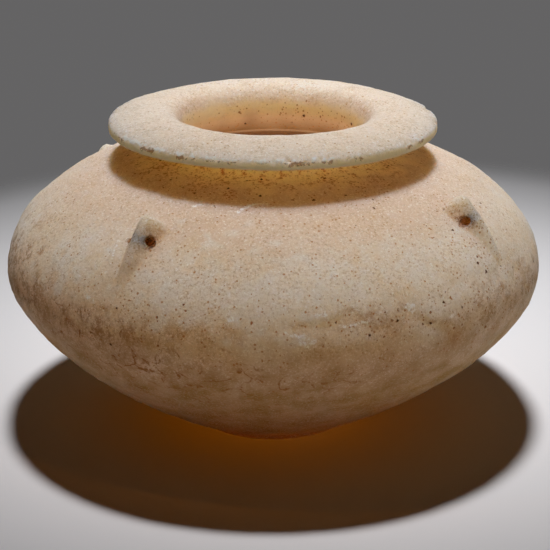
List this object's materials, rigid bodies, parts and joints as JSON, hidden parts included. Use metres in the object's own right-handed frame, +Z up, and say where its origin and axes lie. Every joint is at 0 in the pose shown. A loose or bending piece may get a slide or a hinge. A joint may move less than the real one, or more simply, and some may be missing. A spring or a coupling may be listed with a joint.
{
  "type": "alabaster bowl",
  "caption": "Squat carved alabaster bowl: lens-shaped hollow body on a small flat foot, sunk neck, wide flat rim and pierced string lugs on the shoulder.",
  "frame": {"origin": "middle of the flat foot, on the surface that the bowl stands on", "axes": "+Z up through the mouth, the side that the picture shows facing -Y, its right-hand side towards +X"},
  "size_m": [0.24, 0.24, 0.1446],
  "materials": {
    "alabaster": "warm cream translucent alabaster, dry and matt, finely grained, with brown specks, small pits, pale scratches and an uneven earthy stain"
  },
  "bodies": {
    "root": {"alabaster_bowl": "alabaster"}
  },
  "joints": []
}
